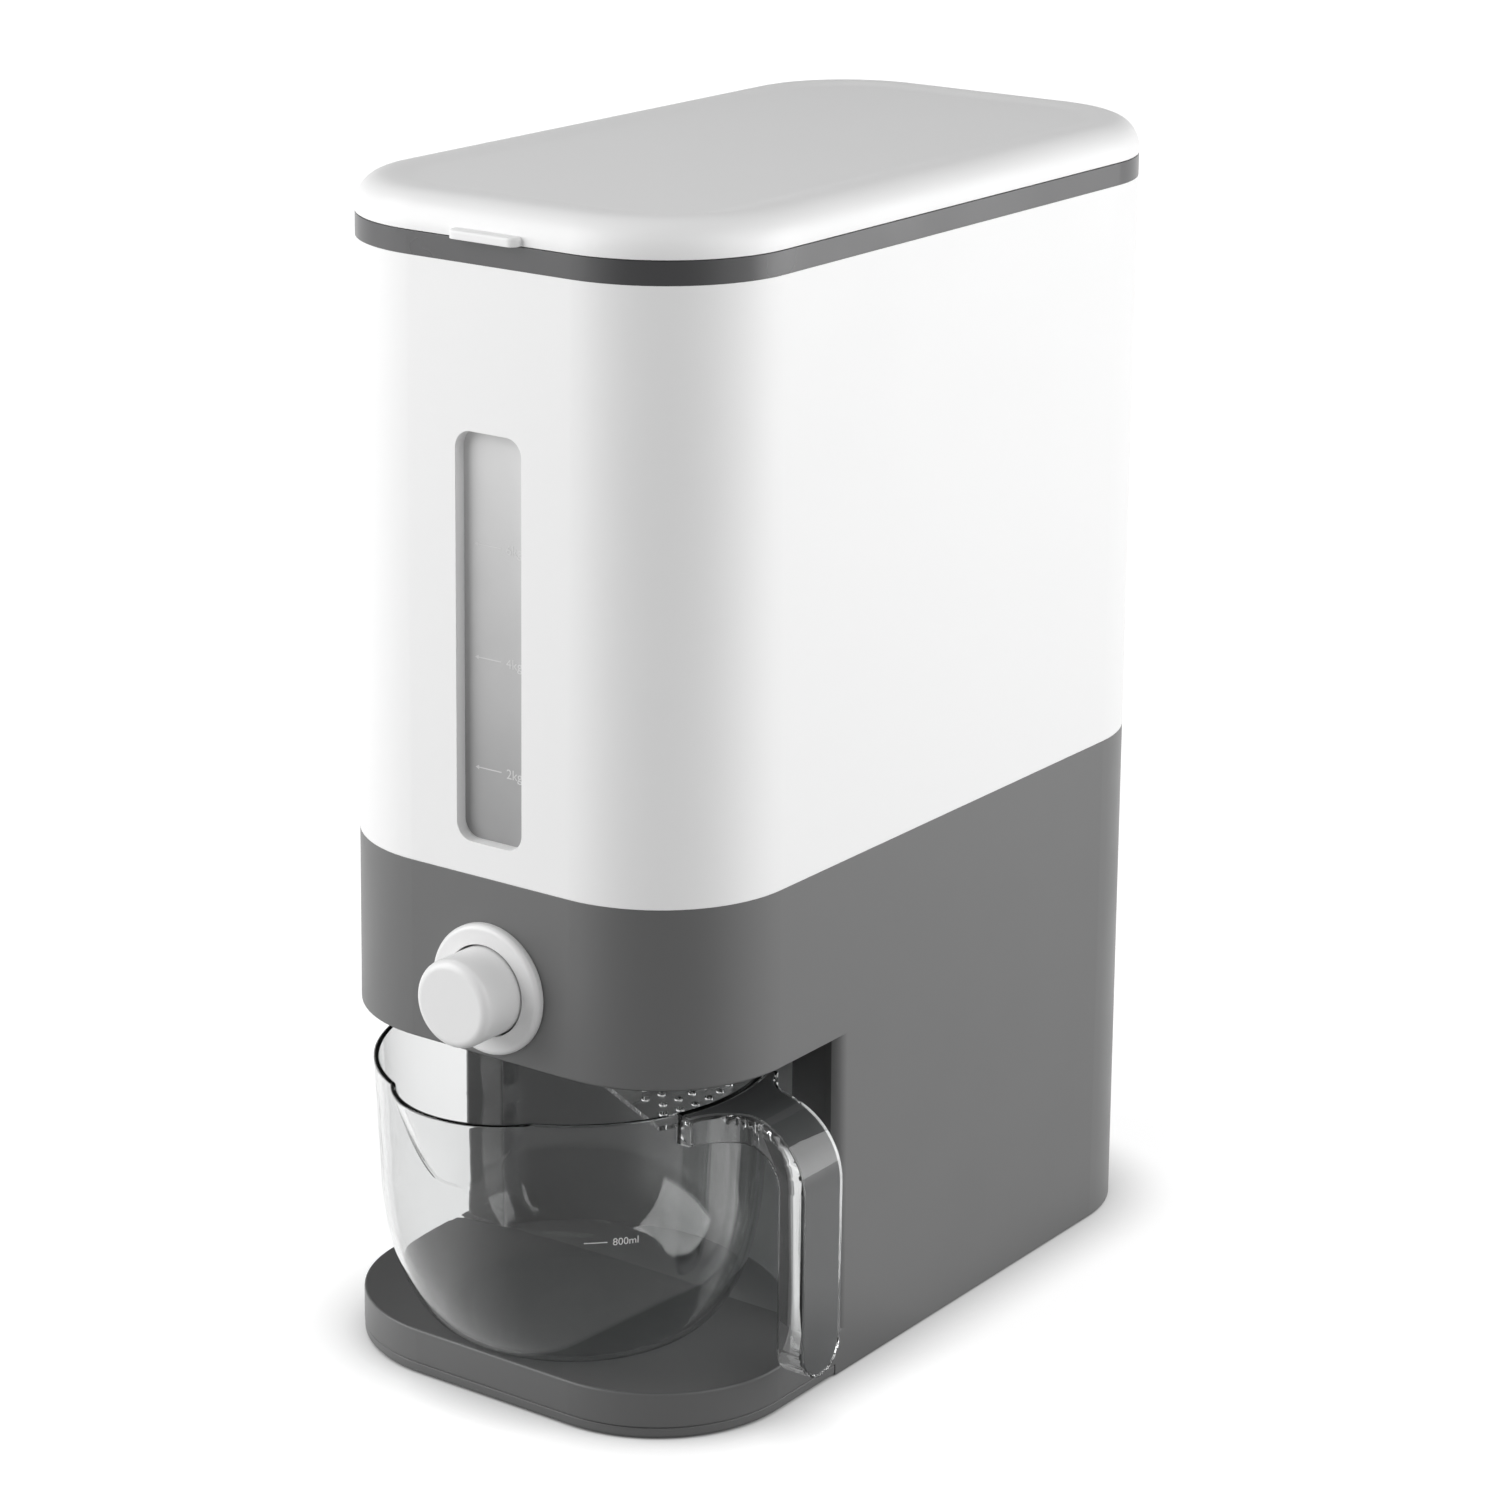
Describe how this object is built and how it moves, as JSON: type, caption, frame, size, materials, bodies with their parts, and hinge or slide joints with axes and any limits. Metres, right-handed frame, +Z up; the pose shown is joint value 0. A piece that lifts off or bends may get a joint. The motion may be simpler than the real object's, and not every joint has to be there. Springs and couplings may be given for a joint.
{
  "type": "rice dispenser",
  "caption": "Tall hinged-lid grain bin on a lower housing; a push button opens a slide gate over a clear measuring cup with handle, lip and strainer.",
  "frame": {"origin": "on the floor under the centre of the body, at the middle foot", "axes": "+Z up, -Y the front with the button and the cup, +X to the right seen from the front"},
  "size_m": [0.2162, 0.3889, 0.4721],
  "materials": {
    "housing_grey": "fine matte grain",
    "trim_grey": "satin",
    "shell_white": "fine matte grain",
    "lid_white": "fine matte grain",
    "button_light_grey": "satin",
    "mechanism_white": "as moulded",
    "bin_translucent": "translucent, as moulded",
    "window_frosted": "frosted",
    "cup_clear": "polished clear moulding",
    "seal_rubber": "soft silicone",
    "foot_rubber": "matte",
    "screw_steel": "zinc plated",
    "spring_steel": "bright wire"
  },
  "bodies": {
    "housing": {"base_housing": "housing_grey", "base_plate": "housing_grey", "rubber_feet": "foot_rubber", "base_screws": "screw_steel", "upper_shell": "shell_white", "window_pane": "window_frosted", "top_trim": "trim_grey", "inner_bin": "bin_translucent", "neck_gasket": "seal_rubber", "gate_housing": "mechanism_white", "track_screws": "screw_steel", "outlet_chute": "mechanism_white", "button_bezel": "button_light_grey", "hinge_pin": "screw_steel"},
    "lid": {"lid_shell": "lid_white", "lid_inner_plate": "lid_white", "lid_seal": "seal_rubber", "lid_screws": "screw_steel"},
    "button": {"button_cap": "button_light_grey", "push_rod": "mechanism_white", "rod_screw": "screw_steel", "gate_plate": "mechanism_white", "return_spring": "spring_steel"},
    "cup": {"measuring_cup": "cup_clear", "cup_strainer": "cup_clear", "cup_handle": "cup_clear"}
  },
  "joints": [
    {"name": "lid_hinge", "type": "hinge", "parent": "housing", "child": "lid", "pos_m": [0, 0.17582, 0.4556], "axis": [-1, 0, 0], "range_deg": [0, 100]},
    {"name": "button_press", "type": "slide", "parent": "housing", "child": "button", "axis": [0, 1, 0], "range_m": [0, 0.015], "stiffness_N_per_m": 400, "springref_m": -0.008, "deforming": ["return_spring"]},
    {"name": "cup_pull_out", "type": "slide", "parent": "housing", "child": "cup", "axis": [0, -1, 0], "range_m": [0, 0.2]}
  ]
}
